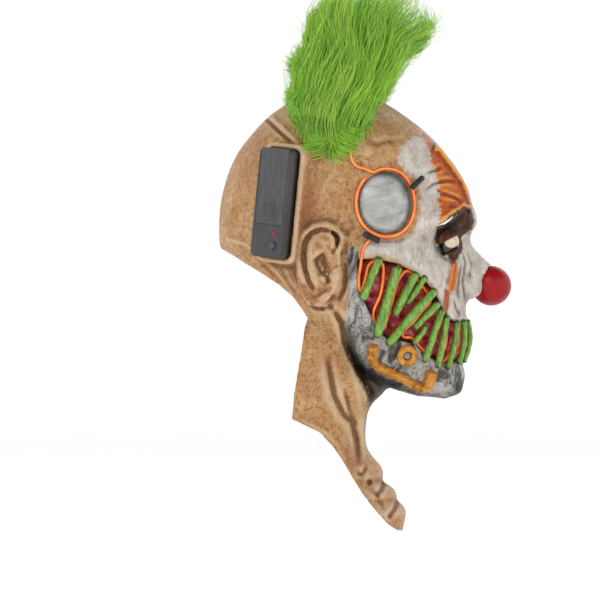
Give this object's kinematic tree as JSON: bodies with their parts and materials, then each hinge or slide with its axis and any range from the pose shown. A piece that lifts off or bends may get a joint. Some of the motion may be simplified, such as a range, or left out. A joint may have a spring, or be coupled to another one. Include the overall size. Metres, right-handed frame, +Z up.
{
  "type": "clown mask",
  "caption": "Full-head latex clown mask with stitched mouth, laced glow wire, ball nose, temple discs, green hair tufts and a battery pack.",
  "frame": {"origin": "highest point of the hollow, inside the crown, where the wearer's head carries the mask", "axes": "the face looks along -Y, +Z up, +X the wearer's left"},
  "size_m": [0.2372, 0.2594, 0.5029],
  "materials": {
    "latex": "satin painted latex",
    "nose_gloss": "gloss",
    "eye_cream": "gloss",
    "disc_metal": "brushed",
    "glow_wire": "gloss",
    "clip_black": "matt",
    "stitch_green": "satin",
    "brass": "worn",
    "stud_metal": "worn",
    "green_fur": "fur",
    "case_black": "satin",
    "door_grey": "satin",
    "lamp_red": "gloss"
  },
  "bodies": {
    "mask": {"mask_shell": "latex", "nose_ball": "nose_gloss", "eyeball_right": "eye_cream", "temple_disc_right": "disc_metal", "ring_wire_right": "glow_wire", "upper_clip_right": "clip_black", "lower_clip_right": "clip_black", "mouth_wire_right": "glow_wire", "stitch_right_1": "stitch_green", "stitch_right_2": "stitch_green", "stitch_right_3": "stitch_green", "stitch_right_4": "stitch_green", "stitch_right_5": "stitch_green", "stitch_right_6": "stitch_green", "stitch_right_7": "stitch_green", "stitch_right_8": "stitch_green", "stitch_right_9": "stitch_green", "stitch_right_10": "stitch_green", "stitch_right_11": "stitch_green", "stitch_right_12": "stitch_green", "jaw_bar_right": "brass", "jaw_ring_right": "brass", "jaw_stud_right": "stud_metal", "hair_tuft_right": "green_fur", "eyeball_left": "eye_cream", "temple_disc_left": "disc_metal", "ring_wire_left": "glow_wire", "upper_clip_left": "clip_black", "lower_clip_left": "clip_black", "mouth_wire_left": "glow_wire", "stitch_left_1": "stitch_green", "stitch_left_2": "stitch_green", "stitch_left_3": "stitch_green", "stitch_left_4": "stitch_green", "stitch_left_5": "stitch_green", "stitch_left_6": "stitch_green", "stitch_left_7": "stitch_green", "stitch_left_8": "stitch_green", "stitch_left_9": "stitch_green", "stitch_left_10": "stitch_green", "stitch_left_11": "stitch_green", "stitch_left_12": "stitch_green", "jaw_bar_left": "brass", "jaw_ring_left": "brass", "jaw_stud_left": "stud_metal", "hair_tuft_left": "green_fur", "battery_case": "case_black", "lamp": "lamp_red"},
    "door": {"battery_door": "door_grey"},
    "button": {"push_button": "clip_black"}
  },
  "joints": [
    {"name": "door_slide", "type": "slide", "parent": "mask", "child": "door", "axis": [-0.0566, -0.098, 0.9936], "range_m": [0, 0.06]},
    {"name": "button_press", "type": "slide", "parent": "mask", "child": "button", "axis": [0.866, -0.5, 0], "range_m": [0, 0.0012], "stiffness_N_per_m": 500}
  ]
}
